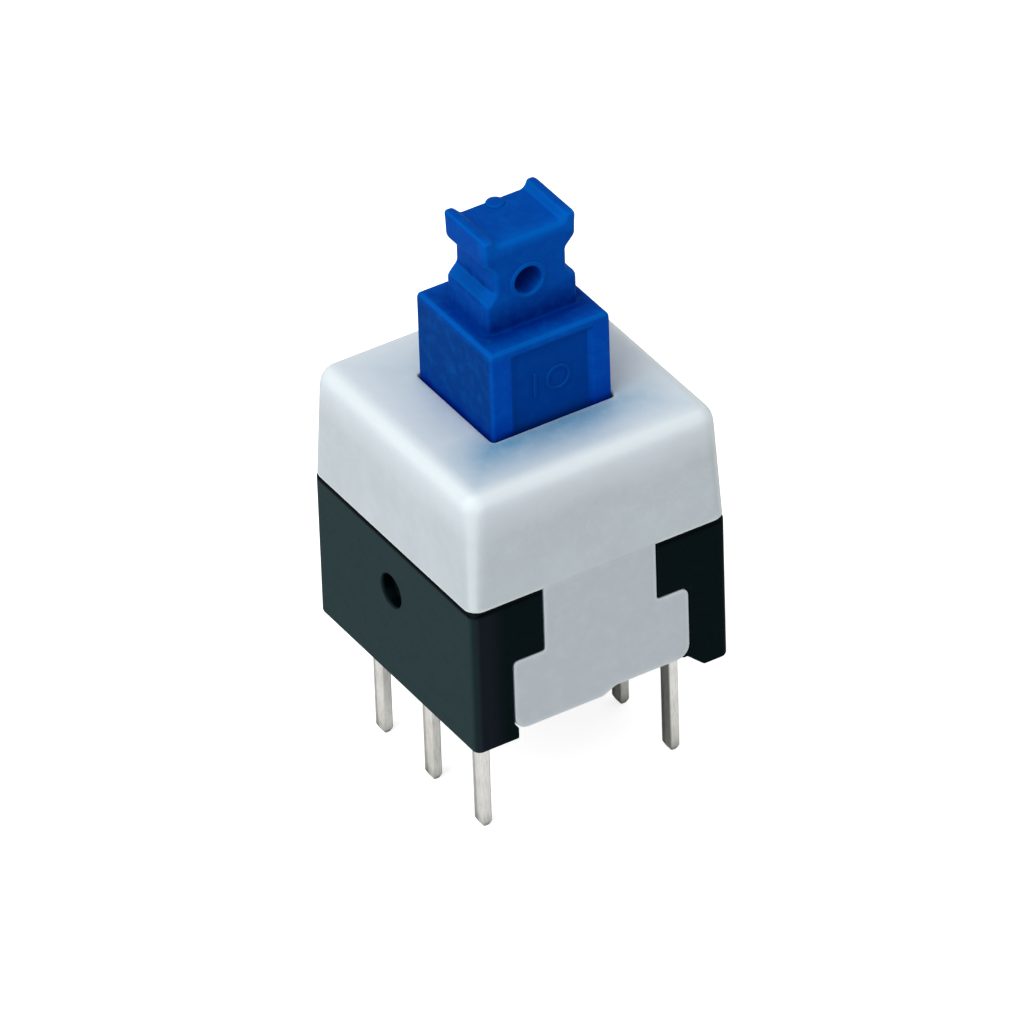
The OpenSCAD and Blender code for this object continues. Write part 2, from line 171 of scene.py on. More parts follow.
def prism(mesh, outline, axis, low, high, roll=0.0, steps=4, share=None):
    """Solid of an outline between two heights along an axis, with both its rims rolled."""
    outline = anticlockwise(list(outline))
    if roll <= 0:
        return loft(mesh, [placed(outline, axis, low), placed(outline, axis, high)])
    rims = [(roll * (1 - math.sin(t)), roll * (1 - math.cos(t))) for t in quarter(steps)]
    rings = [placed(inset(outline, d, share), axis, low + h) for d, h in rims]
    rings += [placed(inset(outline, d, share), axis, high - h) for d, h in reversed(rims)]
    loft(mesh, rings)


def in_scene(name, data):
    """New object in the scene."""
    made = bpy.data.objects.new(name, data)
    bpy.context.scene.collection.objects.link(made)
    return made


def finished(mesh, name):
    """Object of a mesh whose faces all look outwards."""
    bmesh.ops.recalc_face_normals(mesh, faces=mesh.faces)
    data = bpy.data.meshes.new(name)
    mesh.to_mesh(data)
    mesh.free()
    return in_scene(name, data)


def solid(name, build, *details):
    """Object of one mesh, which a builder fills from its details."""
    mesh = bmesh.new()
    build(mesh, *details)
    return finished(mesh, name)


def bake_modifiers(piece):
    """Applies the piece's modifiers to its mesh."""
    bpy.context.view_layer.update()
    evaluated = piece.evaluated_get(bpy.context.evaluated_depsgraph_get())
    data = bpy.data.meshes.new_from_object(evaluated)
    piece.modifiers.clear()
    old = piece.data
    piece.data = data
    bpy.data.meshes.remove(old)
    data.name = piece.name


def combine(piece, other, operation):
    """Adds another solid to the piece or cuts it away, and drops that solid."""
    step = piece.modifiers.new(operation.title(), "BOOLEAN")
    step.operation = operation
    step.solver = "EXACT"
    step.object = other
    bake_modifiers(piece)
    bpy.data.objects.remove(other)
    return piece


def soften(piece, width, weights, angle=40, segments=3):
    """Rounds the sharp edges. weights(edge middle) gives an edge's share of the width."""
    mesh = bmesh.new()
    mesh.from_mesh(piece.data)
    bmesh.ops.remove_doubles(mesh, verts=mesh.verts, dist=0.0005 * MM)
    bmesh.ops.dissolve_limit(
        mesh, angle_limit=math.radians(0.5), verts=mesh.verts, edges=mesh.edges)
    shares = mesh.edges.layers.float.new("bevel_weight_edge")
    for edge in mesh.edges:
        if len(edge.link_faces) != 2 or edge.calc_face_angle() < math.radians(angle):
            continue
        a, b = (v.co / MM for v in edge.verts)
        edge[shares] = weights((a + b) / 2)
    mesh.to_mesh(piece.data)
    mesh.free()
    step = piece.modifiers.new("Soft edges", "BEVEL")
    step.limit_method = "WEIGHT"
    step.width = width * MM
    step.segments = segments
    step.use_clamp_overlap = False
    bake_modifiers(piece)
    return piece


def smooth(piece, angle=40):
    """Smooth shading, with flat faces kept flat."""
    piece.data.polygons.foreach_set("use_smooth", [True] * len(piece.data.polygons))
    piece.data.set_sharp_from_angle(angle=math.radians(angle))
    step = piece.modifiers.new("Flat faces stay flat", "WEIGHTED_NORMAL")
    step.mode = "FACE_AREA"
    step.weight = 50
    step.keep_sharp = True
    bake_modifiers(piece)
    return piece


def square_outline(half, radius, steps=6):
    """Square about the middle, with rounded corners."""
    corners = [(half, -half), (half, half), (-half, half), (-half, -half)]
    return rounded([(x, y, radius) for x, y in corners], steps)


def box(mesh, x0, x1, y0, y1, z0, z1):
    """Plain block, used to add to or cut a moulding."""
    outline = [Vector(p) for p in ((x0, y0), (x1, y0), (x1, y1), (x0, y1))]
    prism(mesh, outline, "Z", z0, z1)


# ---- cover
LIP_R = 0.07          # roll of the cover's lower lip
TOP_R = 0.54          # roll of its top edges
CORNER_LOW = 0.4      # radius of the upright edges at the lip
CORNER_HIGH = 0.58    # radius of the upright edges at the top
HOLE_RIM = 0.06       # roll of the rim of the plunger's hole
HOLE_R = 0.12         # radius of that hole's corners
INNER_R = 0.06        # radius of the cover's inner corners
HOLD = 0.1            # a ring this far from a turn of the shell keeps the face beside it flat
TONGUE_T = 0.5
TONGUE_STEP = 0.03    # how far a tongue stands back from the cover's lip
NECK_HALF = 1.75
TONGUE_HALF = 2.73
HOOK_Z = 2.55         # lower edge of the hooks at -X
HOOK_RISE = 0.2       # the hooks at +X sit higher by this
TONGUE_LOW = 0.3
TONGUE_RISE = 0.2     # rise of a tongue's lower edge on its +X half
TONGUE_R = 0.4        # radius of a tongue's lower corners
SHOULDERS_R = (0.14, 0.24)           # radii of its shoulders at -X and at +X
NOTCH_R = 0.08        # radius of the corners under its neck
RIB_HALF = 0.9
RIB_FACE = -2.98
RIB_Z = (2.24, 3.24)  # lower and upper ends of the rib inside the front tongue


def arc(middle, height, radius, start, end, steps):
    """Points (distance from the axis, height) of an arc, from a start angle to an end angle."""
    turns = [math.radians(start + (end - start) * k / steps) for k in range(steps + 1)]
    return [(middle + radius * math.cos(t), height + radius * math.sin(t)) for t in turns]


def cover_shell(mesh):
    """Square cap as rings: up the outside, over the top, down the hole and round the inside."""
    lean = math.degrees(math.atan(DRAFT / (TOP_Z - SEAM_Z)))
    edge = HALF - DRAFT - TOP_R * (1 - 0.5 * math.radians(lean))
    wall = [(HALF - DRAFT * (z - SEAM_Z) / (TOP_Z - SEAM_Z), z)
            for z in (SEAM_Z + LIP_R + 0.04, 5.6, 6.6, TOP_Z - TOP_R - 0.08)]
    profile = arc(HALF - LIP_R, SEAM_Z + LIP_R, LIP_R, -90, 0, 4)
    profile += wall
    profile += arc(edge, TOP_Z - TOP_R, TOP_R, lean, 90, 10)
    profile += [(edge - HOLD, TOP_Z), (HOLE_HALF + HOLE_RIM + HOLD, TOP_Z)]
    profile += arc(HOLE_HALF + HOLE_RIM, TOP_Z - HOLE_RIM, HOLE_RIM, 90, 180, 4)
    profile += [(HOLE_HALF, ROOF_Z), (SKIRT_INNER - HOLD, ROOF_Z)]
    profile += [(SKIRT_INNER, ROOF_Z - HOLD), (SKIRT_INNER, SEAM_Z)]
    rings = []
    for distance, z in profile:
        rise = (z - SEAM_Z) / (TOP_Z - SEAM_Z)
        turned_in = max(HALF - DRAFT * rise - distance, 0)
        radius = CORNER_LOW + (CORNER_HIGH - CORNER_LOW) * rise - turned_in
        if distance < HOLE_HALF + 2 * HOLE_RIM + HOLD:
            radius = HOLE_R + distance - HOLE_HALF
        elif distance <= SKIRT_INNER and z < ROOF_Z + 0.01:
            radius = INNER_R
        rings.append(placed(square_outline(distance, max(radius, INNER_R)), "Z", z))
    loft(mesh, rings, closed=True)


def tongue_outline():
    """Clip tongue seen from the front: a neck between the hooks and a broad foot below them."""
    low, high, root = TONGUE_LOW, TONGUE_LOW + TONGUE_RISE, SEAM_Z + 0.16
    left, right = SHOULDERS_R
    return rounded([
        (-NECK_HALF, root, 0), (-NECK_HALF, HOOK_Z, NOTCH_R), (-TONGUE_HALF, HOOK_Z, left),
        (-TONGUE_HALF, low, TONGUE_R), (0, low, 0.3), (2 * TONGUE_RISE, high, 0.3),
        (TONGUE_HALF, high, TONGUE_R), (TONGUE_HALF, HOOK_Z + HOOK_RISE, right),
        (NECK_HALF, HOOK_Z + HOOK_RISE, NOTCH_R), (NECK_HALF, root, 0)])


def make_cover():
    """Cap with its two tongues, and a rib inside the front one."""
    cover = solid("cover_shell", cover_shell)
    for side in (-1, 1):
        outer, inner = side * (HALF - TONGUE_STEP), side * (HALF - TONGUE_T)
        tongue = solid("tongue", prism, tongue_outline(), "Y", min(outer, inner),
                       max(outer, inner), 0.04)
        combine(cover, tongue, "UNION")
    rib = solid("rib", box, -RIB_HALF, RIB_HALF, -HALF + TONGUE_T - 0.05, RIB_FACE, *RIB_Z)
    combine(cover, rib, "UNION")
    return smooth(cover)


# ---- base
RAIL_H = 0.5
RAIL_LEFT = 1.34 - BASE_HALF         # inner edge of the -X foot rail
RAIL_RIGHT = BASE_HALF - 0.76        # inner edge of the flat of the +X foot rail
RAIL_SLOPE = 0.55                    # width of the slope beside it
SIDE_HOLE = (0.15, 2.92, 0.5)        # place along Y, height, radius
SIDE_HOLE_DEPTH = 0.42
SIDE_HOLE_SOFT = (0.05, 0.04)        # chamfer at that hole's bottom, roll of its mouth
UPSTAND_TOP = SEAM_Z + 1.6           # top of the side walls inside the cover
TONGUE_GAP = 0.03
BASE_CORNER = 0.24                   # radius of the upright edges
BASE_ROLL = 0.1                      # roll of the lower and upper outer edges
BASE_SOFT = 0.035                    # softening of the other edges that show
FIT_GAP = 0.02                       # room round a pin in its slot
TROUGH = (0.325, -2.41, 0.855)       # half width, back end and floor of the wire's trough
BEARING = (0.2, 0.7, -2.42)          # radius, depth and mouth of the bearing of its lower leg
BOSS = (0.795, 0.9)                  # radius and height of the spring's boss


def lathe(name, profile, at, turn, sides=48):
    """Round solid from a profile (radius, height), turned to an axis and set at a point."""
    rings = [[(r * math.cos(a), r * math.sin(a), h) for a in circle(sides)] for r, h in profile]
    piece = solid(name, loft, rings)
    piece.data.transform(Matrix.Translation(Vector(at) * MM) @ turn)
    return piece


def base_outline():
    """Foot rails and the air gap between them, seen from the front."""
    h = BASE_HALF + 1
    return [Vector(p) for p in (
        (-h, -1), (RAIL_LEFT, -1), (RAIL_LEFT, RAIL_H), (RAIL_RIGHT - RAIL_SLOPE, RAIL_H),
        (RAIL_RIGHT, 0), (RAIL_RIGHT, -1), (h, -1), (h, SEAM_Z + 1), (-h, SEAM_Z + 1))]


def tongue_slot():
    """The tongue's outline grown by its gap, open at the top."""
    g = TONGUE_GAP
    low, high = TONGUE_LOW - g, TONGUE_LOW + TONGUE_RISE - g
    neck, reach = NECK_HALF + g, TONGUE_HALF + g
    left_hook, right_hook = HOOK_Z + g, HOOK_Z + HOOK_RISE + g
    return rounded([
        (-neck, SEAM_Z + 1, 0), (-neck, left_hook, 0), (-reach, left_hook, SHOULDERS_R[0]),
        (-reach, low, TONGUE_R), (0, low, 0), (2 * TONGUE_RISE, high, 0),
        (reach, high, TONGUE_R), (reach, right_hook, SHOULDERS_R[1]), (neck, right_hook, 0),
        (neck, SEAM_Z + 1, 0)])


def base_edge_share(middle):
    """Only edges that can be seen are softened."""
    inside = max(abs(middle.x), abs(middle.y)) < FRONT_FACE - 0.1 and middle.z > RAIL_H + 0.05
    on_wall = max(abs(middle.x), abs(middle.y)) > BASE_HALF - 0.02
    on_rim = min(abs(middle.z), abs(middle.z - SEAM_Z)) < 0.02
    return 0.0 if inside or (on_wall and on_rim) else 1.0


def make_base():
    """Base with its foot rails, well, side walls, slots and blind hole."""
    base = solid("base_block", prism, square_outline(BASE_HALF, BASE_CORNER, 8), "Z", 0, SEAM_Z,
                 BASE_ROLL, 5)
    rails = solid("rails", prism, base_outline(), "Y", -BASE_HALF - 1, BASE_HALF + 1)
    combine(base, rails, "INTERSECT")
    for side in (-1, 1):
        x0, x1 = sorted((side * WALL_FACE, side * (WALL_FACE + WALL_T)))
        wall = solid("wall", box, x0, x1, -FRONT_FACE, FRONT_FACE, FLOOR_Z, UPSTAND_TOP)
        combine(base, wall, "UNION")
    well = solid("well", box, -WALL_FACE, WALL_FACE, -FRONT_FACE, FRONT_FACE, FLOOR_Z,
                 UPSTAND_TOP + 1)
    combine(base, well, "DIFFERENCE")
    for side in (-1, 1):
        y0, y1 = sorted((side * (HALF - TONGUE_T - TONGUE_GAP), side * (HALF + 1)))
        combine(base, solid("slot", prism, tongue_slot(), "Y", y0, y1), "DIFFERENCE")
    for side in (-1, 1):
        for row in (-1, 0, 1):
            x, y = side * ROW_X, row * PIN_PITCH
            across, along = PIN_T / 2 + FIT_GAP, PIN_W / 2 + FIT_GAP
            slot = solid("pin_slot", box, x - across, x + across, y - along, y + along, -CUT,
                         FLOOR_Z + CUT)
            combine(base, slot, "DIFFERENCE")
    half, back, low = TROUGH
    trough = solid("trough", box, -half, half, -FRONT_FACE - 0.05, back, low, FLOOR_Z + CUT)
    combine(base, trough, "DIFFERENCE")
    r, depth, mouth_y = BEARING
    bearing = lathe("bearing", [(r, 0), (r, depth)], (0, mouth_y, PIVOT_Z),
                    Matrix.Rotation(-math.pi / 2, 4, "X"), 24)
    combine(base, bearing, "DIFFERENCE")
    r, height = BOSS
    boss = lathe("boss", [(r, 0), (r, height)], (0, 0, FLOOR_Z - 0.02), Matrix.Identity(4))
    combine(base, boss, "UNION")
    soften(base, BASE_SOFT, base_edge_share)
    y, z, r = SIDE_HOLE
    chamfer, roll = SIDE_HOLE_SOFT
    mouth = [(r - chamfer, SIDE_HOLE_DEPTH), (r, SIDE_HOLE_DEPTH - chamfer)]
    mouth += [(r + roll * (1 - math.cos(t)), roll * (1 - math.sin(t))) for t in quarter(4)]
    mouth += [(r + roll, -0.2)]
    hole = lathe("side_hole", mouth, (-BASE_HALF, y, z), Matrix.Rotation(math.pi / 2, 4, "Y"))
    combine(base, hole, "DIFFERENCE")
    return smooth(base)


# ---- plunger
BLOCK_HALF = 1.85
SHOULDER_Z = 10.8
BLOCK_R = 0.1                       # radius of the block's upright edges
SHOULDER_R = 0.2                    # roll of the block's upper edges
PANEL_X = (-1.15, 1.25)             # the hollow panel's sides
PANEL_DEPTH = 0.1
PANEL_SOFT = 0.09                   # half the width of the slopes beside the panel
PANEL_TOP = SHOULDER_Z - SHOULDER_R - PANEL_SOFT - 0.01
CARRIAGE_Z = 4.15
CARRIAGE_TOP = 6.6
CARRIAGE_HALF = (2.05, 2.3)
STOP_HALF = 2.52                    # half the width of the stop flange
PEG = (0.2, 0.27, 0.91)             # radius, length and place along Y of a contact's peg
POCKET = (1.275, 8.2)               # radius and upper end of the spring's pocket
HEAD_HALF = (1.42, 1.02)
WAIST_HALF = 1.12
WAIST_Z = SHOULDER_Z + 0.88
FLANGE_Z = WAIST_Z + 1.24
CHANNEL_Z = FLANGE_Z + 0.57
HEAD_TOP = node_box("plunger")[1].z
SLOPE_H = 0.32
LIP_TOP = 0.26                      # flat of a lip's top
LIP_FOOT = 0.46                     # width of a lip at the channel's floor
CAP_HOLE = (-0.12, WAIST_Z + 0.413, 0.4, 0.8)   # place along X, height, radius, depth
CAP_RIM = (0.08, 0.045)             # width and height of the raised rim round that hole
HEAD_ROLL = 0.2                     # roll of the head's front and back rims
CHANNEL_FALL = 1.35                 # how much deeper the roll is at the channel's ends
LIP_FALL = 0.4                      # and how much shallower at the lips
GATE = (0.72, 0.26, 0.06)           # place along Y, radius and height of the gate's disc
MARK_H = 0.8
MARK_LINE = 0.12                    # width of the mark's lines
MARK_RISE = 0.05
HEART_SWING = 0.6                   # sideways reach of the heart-shaped groove's lane
LANE_LOW, LANE_HIGH = 4.4, 6.845    # heights between which the lane leans
GROOVE_TOP = 7.14
GROOVE_ROOM = 0.295                 # half the width of the lane
GROOVE_DEPTH = 0.5


def block_ring(z, hollow, shrink=0.0):
    """Ring of the block at a height, with its panel hollowed by a depth."""
    h, r = BLOCK_HALF - shrink, max(BLOCK_R - shrink, 0.03)
    (left, right), soft = PANEL_X, PANEL_SOFT
    depth = max(hollow, 0.002)
    return placed(rounded([
        (-h, -h, r), (left - soft, -h, soft), (left + soft, depth - h, soft),
        (right - soft, depth - h, soft), (right + soft, -h, soft),
        (h, -h, r), (h, h, r), (-h, h, r)]), "Z", z)


def plunger_block(mesh):
    """Square block, with a hollow panel on its front that fades out under the shoulder."""
    rings = [block_ring(CARRIAGE_TOP - 0.2, PANEL_DEPTH)]
    for k in range(6):
        share = k / 5
        fade = 0.5 + 0.5 * math.cos(math.pi * share)
        z = PANEL_TOP - PANEL_SOFT + 2 * PANEL_SOFT * share
        rings.append(block_ring(z, PANEL_DEPTH * fade))
    for t in quarter(6):
        rings.append(block_ring(SHOULDER_Z - SHOULDER_R * (1 - math.sin(t)), 0,
                                SHOULDER_R * (1 - math.cos(t))))
    loft(mesh, rings)


def panel_mark(mesh):
    """Raised bar and ring on the panel, for on and off."""
    face = PANEL_DEPTH - BLOCK_HALF
    middle, height = sum(PANEL_X) / 2, (TOP_Z + PANEL_TOP) / 2
    r, line = MARK_H / 2, MARK_LINE / 2
    bar = rounded([(middle - r - 2 * line + x, height + z, 0.04)
                   for x, z in ((-line, -r), (line, -r), (line, r), (-line, r))], 3)
    prism(mesh, bar, "Y", face - MARK_RISE, face + 0.05, 0.03, 3)
    section = [(-line, 0.05), (-line, -0.02), (-line / 2, -MARK_RISE), (line / 2, -MARK_RISE),
               (line, -0.02), (line, 0.05)]
    loft(mesh, [[(middle + r / 2 + (r - line + d) * math.cos(a), face + out,
                  height + (r - line + d) * math.sin(a)) for d, out in section]
                for a in circle(40)], closed=True)


def head_outline():
    """Head seen from the front: foot, waist, flange, and a channel between two lips."""
    w, waist = HEAD_HALF[0], WAIST_HALF
    side = [
        (w, SHOULDER_Z - 0.3, 0), (w, WAIST_Z, 0.24), (waist, WAIST_Z + SLOPE_H, 0.2),
        (waist, FLANGE_Z - SLOPE_H, 0.2), (w, FLANGE_Z, 0.24), (w, HEAD_TOP, 0.12),
        (w - LIP_TOP, HEAD_TOP, 0.15), (w - LIP_FOOT, CHANNEL_Z, 0.2),
        (GATE[1] + 0.15, CHANNEL_Z, 0)]
    return rounded(side + [(-x, z, r) for x, z, r in reversed(side)], 5)


def head_share(point):
    """The channel's ends fall away broadly, and the rims of the thin lips hardly at all."""
    if point.y < CHANNEL_Z - 0.05:
        rise = (point.y - FLANGE_Z) / (CHANNEL_Z - 0.05 - FLANGE_Z)
        return 1 + (LIP_FALL - 1) * clamped(rise)
    rise = (point.y - CHANNEL_Z) / (HEAD_TOP - CHANNEL_Z)
    in_channel = clamped((HEAD_HALF[0] - LIP_TOP - abs(point.x)) / 0.1)
    return LIP_FALL + in_channel * (CHANNEL_FALL - LIP_FALL) * clamped(1 - rise)


def heart_groove():
    """Groove for the latch wire: up one lane, round the heart and back down the other."""
    room, below, face = GROOVE_ROOM, CARRIAGE_Z - CUT, -CARRIAGE_HALF[1]
    right, left, left_low = HEART_SWING + room, -1.15, 5.96
    outline = [(-room, below), (room, below), (room, LANE_LOW), (right, LANE_HIGH),
               (right, GROOVE_TOP), (left, GROOVE_TOP), (left, left_low), (-room, LANE_LOW)]
    point_z, lobe_z, dip_z, lobe = 5.17, 6.26, 6.01, 0.36

    def lane(z):
        return HEART_SWING * (z - LANE_LOW) / (LANE_HIGH - LANE_LOW) - room

    heart = [(lane(point_z), point_z), (lane(lobe_z), lobe_z), (lane(lobe_z) - lobe, dip_z),
             (lane(lobe_z) - 2 * lobe, lobe_z)]
    groove, island = (
        solid(name, prism, [Vector(p) for p in shape], "Y", face - over,
              face + GROOVE_DEPTH + more)
        for name, shape, over, more in (
            ("groove", outline, CUT, 0), ("heart", heart, 2 * CUT, CUT)))
    return combine(groove, island, "DIFFERENCE")


def make_plunger():
    """Plunger from its carriage and heart groove up to its block and head."""
    x, y = CARRIAGE_HALF
    plunger = solid("plunger_block", plunger_block)
    head = solid("head", prism, head_outline(), "Y", -HEAD_HALF[1], HEAD_HALF[1], HEAD_ROLL, 5,
                 head_share)
    across, z, r, depth = CAP_HOLE
    width, height = CAP_RIM
    into_face = Matrix.Rotation(-math.pi / 2, 4, "X")
    mouth_at = (across, -HEAD_HALF[1], z)
    bead = [(r + width * (1 + math.cos(t)), -height * math.sin(t))
            for t in (math.pi * k / 10 for k in range(1, 6))]
    rim = [(r + 2 * width, 0.1), (r + 2 * width, 0.0)] + bead
    rim += [(r - 0.05, -height), (r - 0.05, 0.05)]
    combine(head, lathe("cap_rim", rim, mouth_at, into_face), "UNION")
    mouth = [(r - 0.03, depth), (r, depth - 0.03), (r, 0.04), (r + 0.015, 0.0),
             (r + 0.045, -0.75 * height), (r + 0.09, -height - 0.03), (r + 0.09, -0.2)]
    hole = lathe("cap_hole", mouth, mouth_at, into_face, 44)
    combine(head, hole, "DIFFERENCE")
    place, radius, rise = GATE
    profile = [(radius, -0.3), (radius, rise - 0.05), (radius - 0.02, rise - 0.015),
               (radius - 0.06, rise)]
    disc = lathe("gate_disc", profile, (0, place, CHANNEL_Z), Matrix.Identity(4), 32)
    combine(head, disc, "UNION")
    combine(plunger, head, "UNION")
    combine(plunger, solid("mark", panel_mark), "UNION")
    foot = solid("foot", box, -x, x, -y, y, CARRIAGE_Z, CARRIAGE_TOP)
    stop = solid("stop", box, -STOP_HALF, STOP_HALF, -y, y, CARRIAGE_TOP - 0.01, ROOF_Z)
    combine(foot, stop, "UNION")
    combine(foot, heart_groove(), "DIFFERENCE")
    combine(plunger, foot, "UNION")
    pocket = lathe("pocket", [(POCKET[0], -0.1), (POCKET[0], POCKET[1] - CARRIAGE_Z)],
                   (0, 0, CARRIAGE_Z), Matrix.Identity(4))
    combine(plunger, pocket, "DIFFERENCE")
    r, length, place = PEG
    for side in (-1, 1):
        for along in (-place, place):
            peg = lathe("peg", [(r, -0.05), (r, length - 0.03), (r - 0.03, length)],
                        (side * x, along, (CARRIAGE_Z + CARRIAGE_TOP) / 2),
                        Matrix.Rotation(side * math.pi / 2, 4, "Y"), 20)
            combine(plunger, peg, "UNION")
    return smooth(plunger, 50)


# ---- terminals, spring and wire
PIN_LOW = -3.55
PIN_TAPER = 0.16                    # length of a pin's tapered tip
BLADE_W = 0.9
PAD_LOW, PAD_TOP = 4.475, 6.275     # lower and upper ends of the contact pads
PAD_INNER = 1.42                    # inner edge of the outer pads along Y


def terminal_outline(row):
    """Terminal seen from the side of its sheet: solder pin below, contact blade above."""
    half, taper, tip = PIN_W / 2, PIN_LOW + PIN_TAPER, 0.34 * PIN_W
    reach = PIN_PITCH + half
    y = row * PIN_PITCH
    foot = [(y - half, taper, 0.1), (y - tip, PIN_LOW, 0.08), (y + tip, PIN_LOW, 0.08),
            (y + half, taper, 0.1)]
    if row == 0:
        b = BLADE_W / 2
        upper = [(half, FLOOR_Z, 0), (b, FLOOR_Z, 0.03), (b, PAD_TOP, 0.06), (-b, PAD_TOP, 0.06),
                 (-b, FLOOR_Z, 0.03), (-half, FLOOR_Z, 0)]
    elif row < 0:
        upper = [(-reach + PIN_W, PAD_LOW, 0.03), (-PAD_INNER, PAD_LOW, 0.06),
                 (-PAD_INNER, PAD_TOP, 0.06), (-reach, PAD_TOP, 0.06)]
    else:
        top = PAD_TOP - TRAVEL
        upper = [(reach, top, 0.06), (PAD_INNER, top, 0.06), (PAD_INNER, FLOOR_Z, 0.03),
                 (reach - PIN_W, FLOOR_Z, 0.03)]
    return rounded(foot + upper, 4)


def make_terminal(side, row):
    """Stamped terminal of one row, with its tip pressed thinner."""
    name = f"terminal_{'left' if side < 0 else 'right'}_{('front', 'middle', 'back')[row + 1]}"
    x = side * ROW_X
    piece = solid(name + "_pin", prism, terminal_outline(row), "X", x - PIN_T / 2, x + PIN_T / 2,
                  0.05, 3)
    for vertex in piece.data.vertices:
        below = (PIN_LOW + PIN_TAPER - vertex.co.z / MM) / PIN_TAPER
        if below > 0:
            vertex.co.x += (x * MM - vertex.co.x) * 0.5 * min(below, 1)
    smooth(piece, 60)
    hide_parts(name)
    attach(piece, "body")
    return piece


def tube(name, path, radius, sides=12):
    """Round wire along a path of points. Its ends are narrower and slightly dished."""
    points = [Vector(p) for p in path]
    along = [(points[min(i + 1, len(points) - 1)] - points[max(i - 1, 0)]).normalized()
             for i in range(len(points))]
    across = along[0].orthogonal().normalized()
    rings = []

    def ring(centre, direction, size):
        other = direction.cross(across)
        return [centre + (across * math.cos(a) + other * math.sin(a)) * size
                for a in circle(sides)]

    ends = {0: (1, (0, 0.8)), len(points) - 1: (-1, (0.8, 0))}   # way into the wire, turns
    for i, (point, direction) in enumerate(zip(points, along)):
        across = (across - direction * across.dot(direction)).normalized()
        if i in ends:
            way, turns = ends[i]
            rings += [ring(point + direction * way * radius * 0.3 * (1 - math.sin(t)), direction,
                           radius * (0.75 + 0.25 * math.sin(t))) for t in turns]
        else:
            rings.append(ring(point, direction, radius))
    return solid(name, loft, rings)


SPRING_WIRE = 0.25
SPRING_R = 1.0
SPRING_TURNS = 8
SPRING_LOW, SPRING_HIGH = 1.745, 8.055
CLOSED_PITCH = 0.28     # pitch of the end turns
LATCH_R = 0.175
LATCH_Y = -2.755        # the upright shank's place along Y
LATCH_BEND = 0.35


def make_spring():
    """Coil with closed end turns, as it stands with the plunger up; the real spring shortens as the
    plunger goes down.
    """
    def height(turn):
        if turn < 1:
            return SPRING_LOW + CLOSED_PITCH * turn
        if turn > SPRING_TURNS - 1:
            return SPRING_HIGH - CLOSED_PITCH * (SPRING_TURNS - turn)
        open_part = SPRING_HIGH - SPRING_LOW - 2 * CLOSED_PITCH
        return SPRING_LOW + CLOSED_PITCH + open_part * (turn - 1) / (SPRING_TURNS - 2)
    steps = 32
    path = []
    for k in range(SPRING_TURNS * steps + 1):
        turn = 2 * math.pi * k / steps
        path.append((SPRING_R * math.cos(turn), SPRING_R * math.sin(turn), height(k / steps)))
    spring = smooth(tube("coil_spring", path, SPRING_WIRE / 2), 60)
    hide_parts("return_spring")
    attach(spring, "body")
    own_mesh(spring)
    return spring


def make_latch_wire():
    """Bent wire: lower leg in the base, upright shank and upper leg in the heart groove."""
    y, bend, low, high = LATCH_Y, LATCH_BEND, PIVOT_Z, LANE_LOW
    leg_end, tip_end = -1.755, -1.9
    path = [(0, leg_end, low), (0, (leg_end + y + bend) / 2, low)]
    path += [(0, y + bend * (1 - math.sin(t)), low + bend * (1 - math.cos(t)))
             for t in quarter(8)]
    path += [(0, y, (low + high) / 2)]
    path += [(0, y + bend * (1 - math.cos(t)), high - bend * (1 - math.sin(t)))
             for t in quarter(8)]
    path += [(0, tip_end, high)]
    wire = smooth(tube("bent_wire", path, LATCH_R), 60)
    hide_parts("latch_wire")
    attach(wire, "latch")
    return wire


cover = make_cover()
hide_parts("cover")
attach(cover, "body")

base = make_base()
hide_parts("base")
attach(base, "body")

plunger = make_plunger()
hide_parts("plunger")
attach(plunger, "plunger")

terminals = [make_terminal(side, row) for side in (-1, 1) for row in (-1, 0, 1)]
spring = make_spring()
latch = make_latch_wire()
contacts = [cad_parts["sliding_contact_left"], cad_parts["sliding_contact_right"]]

# ---- camera


def direction(azimuth, elevation):
    """Way out to a place at angles in radians; azimuth 0 is in front, and positive at +X."""
    return Vector((math.sin(azimuth) * math.cos(elevation),
                   -math.cos(azimuth) * math.cos(elevation), math.sin(elevation)))


LENS = 432.48
CAMERA_TURN = (-31.051, 35.918, -2.005)         # azimuth, elevation and roll in degrees
CAMERA_AIM = Vector((-0.196, 0.075, 3.995))     # what the middle of the frame looks at
CAMERA_DISTANCE = 326.01


def make_camera():
    """Long lens from above the near corner."""
    azimuth, elevation, roll = (math.radians(a) for a in CAMERA_TURN)
    back = direction(azimuth, elevation)
    level = Vector((math.cos(azimuth), math.sin(azimuth), 0))
    upright = back.cross(level)
    right = level * math.cos(roll) + upright * math.sin(roll)
    up = back.cross(right)
    data = bpy.data.cameras.new("portrait_camera")
    data.lens = LENS
    data.sensor_width = 36
    data.clip_start, data.clip_end = 0.01, 10
    camera = in_scene("portrait_camera", data)
    turn = Matrix((right, up, back)).transposed().to_4x4()
    camera.matrix_world = Matrix.Translation((CAMERA_AIM + back * CAMERA_DISTANCE) * MM) @ turn
    bpy.context.scene.camera = camera


make_camera()


# ---- finishes


def fill(tree, made, inputs):
    """Links or sets the inputs of a node, by name or place."""
    for name, value in inputs.items():
        if isinstance(value, bpy.types.NodeSocket):
            tree.links.new(value, made.inputs[name])
        else:
            made.inputs[name].default_value = value
    return made


def node(tree, kind, inputs=None, **settings):
    """A shader node with its settings and inputs."""
    made = tree.nodes.new("ShaderNode" + kind)
    for name, value in settings.items():
        setattr(made, name, value)
    return fill(tree, made, inputs or {})


def maths(tree, operation, a, b=None, clamp=False):
    """Result of a sum on one or two values."""
    values = {0: a} if b is None else {0: a, 1: b}
    return node(tree, "Math", values, operation=operation, use_clamp=clamp).outputs[0]


